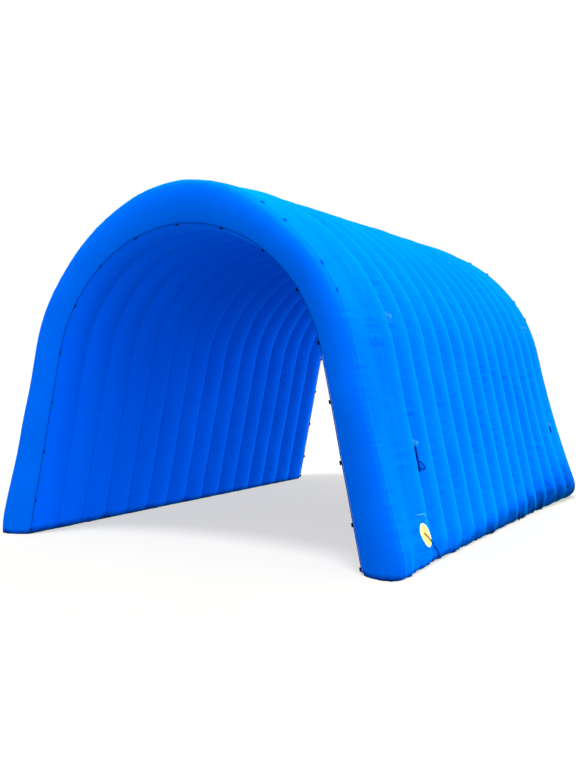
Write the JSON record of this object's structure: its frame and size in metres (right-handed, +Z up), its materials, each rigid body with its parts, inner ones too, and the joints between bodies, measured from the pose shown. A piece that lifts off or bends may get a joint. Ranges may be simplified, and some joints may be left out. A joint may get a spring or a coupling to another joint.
{
  "type": "inflatable sports tunnel",
  "caption": "Inflatable sports tunnel: a ribbed air-filled vault with straight splayed legs, open at both ends, with crowned end panels, seam tabs and anchor straps.",
  "frame": {"origin": "on the floor, in the middle of the tunnel both ways", "axes": "+Y runs along the tunnel from the front end to the rear end, +X is to the right seen from the front end, +Z is up"},
  "size_m": [3.9894, 4.986, 3],
  "materials": {
    "cloth": "satin",
    "webbing": "matte",
    "patch": "satin"
  },
  "bodies": {
    "root": {"chamber_01": "cloth", "chamber_02": "cloth", "chamber_03": "cloth", "chamber_04": "cloth", "chamber_05": "cloth", "chamber_06": "cloth", "chamber_07": "cloth", "chamber_08": "cloth", "chamber_09": "cloth", "chamber_10": "cloth", "chamber_11": "cloth", "chamber_12": "cloth", "chamber_13": "cloth", "chamber_14": "cloth", "chamber_15": "cloth", "front_inner_tape": "webbing", "front_outer_tape": "webbing", "rear_inner_tape": "webbing", "rear_outer_tape": "webbing", "front_upper_tab_right": "cloth", "front_upper_tab_left": "cloth", "front_lower_tab_right": "cloth", "front_lower_tab_left": "cloth", "rear_upper_tab_right": "cloth", "rear_upper_tab_left": "cloth", "rear_lower_tab_right": "cloth", "rear_lower_tab_left": "cloth", "front_strap": "webbing", "front_strap_loop": "webbing", "rear_strap": "webbing", "ground_tie": "webbing", "ground_strap_right": "webbing", "ground_strap_left": "webbing", "oval_patch": "patch"}
  },
  "joints": []
}
